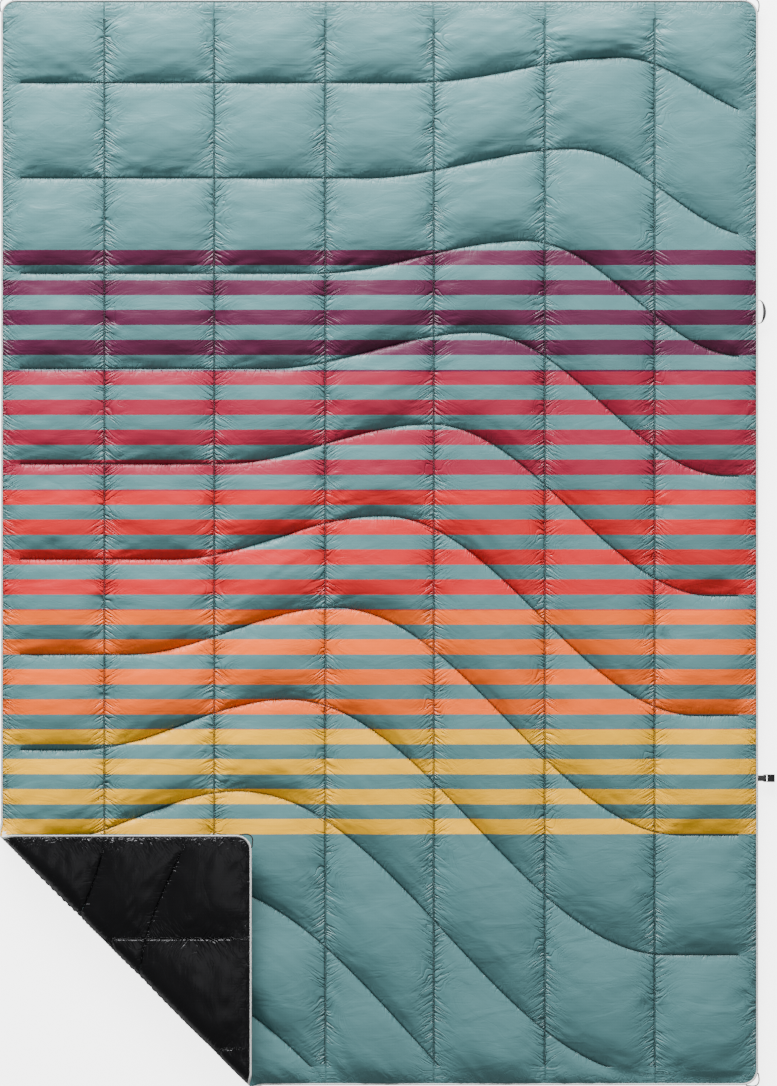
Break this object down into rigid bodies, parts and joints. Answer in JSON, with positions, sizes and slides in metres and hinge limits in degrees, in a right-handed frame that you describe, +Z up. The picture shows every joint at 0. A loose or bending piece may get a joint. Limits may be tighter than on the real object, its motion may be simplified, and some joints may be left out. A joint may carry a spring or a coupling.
{
  "type": "quilted camp blanket",
  "caption": "Quilted, insulated camp blanket lying flat, printed stripes on one side, dark lining on the other, one corner turned over; corner loops and a cape clip.",
  "frame": {"origin": "centre of the blanket's outline on the underside it lies on", "axes": "+Z up through the thickness, +Y along the length towards the end away from the turned corner, +X across the width towards the clip's edge"},
  "size_m": [1.3635, 1.9136, 0.0526],
  "materials": {
    "printed_ripstop": "satin",
    "black_lining": "satin",
    "white_batting": "matte",
    "teal_thread": "matte",
    "white_piping": "satin",
    "black_cord": "matte",
    "black_webbing": "matte",
    "black_moulding": "matte"
  },
  "bodies": {
    "blanket": {"face_shell": "printed_ripstop", "insulation": "white_batting", "backing_shell": "black_lining", "edge_piping": "white_piping", "column_stitch_1": "teal_thread", "column_stitch_2": "teal_thread", "column_stitch_3": "teal_thread", "column_stitch_4": "teal_thread", "column_stitch_5": "teal_thread", "column_stitch_6": "teal_thread", "wave_stitch_1": "teal_thread", "wave_stitch_2": "teal_thread", "wave_stitch_3": "teal_thread", "wave_stitch_4": "teal_thread", "wave_stitch_5": "teal_thread", "wave_stitch_6": "teal_thread", "wave_stitch_7": "teal_thread", "wave_stitch_8": "teal_thread", "wave_stitch_9": "teal_thread", "wave_stitch_10": "teal_thread", "wave_stitch_11": "teal_thread"},
    "corner_flap": {"flap_face_shell": "printed_ripstop", "flap_insulation": "white_batting", "flap_backing_shell": "black_lining", "flap_piping": "white_piping", "flap_column_stitch_1": "teal_thread", "flap_column_stitch_2": "teal_thread", "flap_wave_stitch_10": "teal_thread", "flap_wave_stitch_11": "teal_thread"},
    "loop_top_left": {"corner_loop_top_left": "black_cord"},
    "loop_top_right": {"corner_loop_top_right": "black_cord"},
    "loop_bottom_right": {"corner_loop_bottom_right": "black_cord"},
    "loop_turned": {"corner_loop_turned": "black_cord"},
    "cape_loop": {"clip_loop": "black_webbing"},
    "clip_strap": {"clip_webbing": "black_webbing"},
    "clip_hook": {"clip_hook": "black_moulding"}
  },
  "joints": [
    {"name": "corner_fold", "type": "hinge", "parent": "blanket", "child": "corner_flap", "pos_m": [-0.44475, -0.73325, 0.0263], "axis": [0.7071, -0.7071, 0], "range_deg": [0, 178]},
    {"name": "top_left_loop_swing", "type": "hinge", "parent": "blanket", "child": "loop_top_left", "pos_m": [-0.65558, 0.94408, 0.0085], "axis": [0.7071, 0.7071, 0], "range_deg": [-60, 60]},
    {"name": "top_right_loop_swing", "type": "hinge", "parent": "blanket", "child": "loop_top_right", "pos_m": [0.65558, 0.94408, 0.0085], "axis": [-0.7071, 0.7071, 0], "range_deg": [-60, 60]},
    {"name": "bottom_right_loop_swing", "type": "hinge", "parent": "blanket", "child": "loop_bottom_right", "pos_m": [0.65558, -0.94408, 0.0085], "axis": [-0.7071, -0.7071, 0], "range_deg": [-60, 60]},
    {"name": "turned_loop_swing", "type": "hinge", "parent": "corner_flap", "child": "loop_turned", "pos_m": [-0.23392, -0.52242, 0.0441], "axis": [0.7071, -0.7071, 0], "range_deg": [-60, 60]},
    {"name": "cape_loop_swing", "type": "hinge", "parent": "blanket", "child": "cape_loop", "pos_m": [0.6675, 0.4056, 0.0085], "axis": [0, 1, 0], "range_deg": [-75, 75]},
    {"name": "clip_strap_swing", "type": "hinge", "parent": "blanket", "child": "clip_strap", "pos_m": [0.6675, -0.4144, 0.0085], "axis": [0, 1, 0], "range_deg": [-60, 60]},
    {"name": "clip_hook_swing", "type": "hinge", "parent": "clip_strap", "child": "clip_hook", "pos_m": [0.6775, -0.4144, 0.0085], "axis": [0, 1, 0], "range_deg": [-45, 45]}
  ]
}
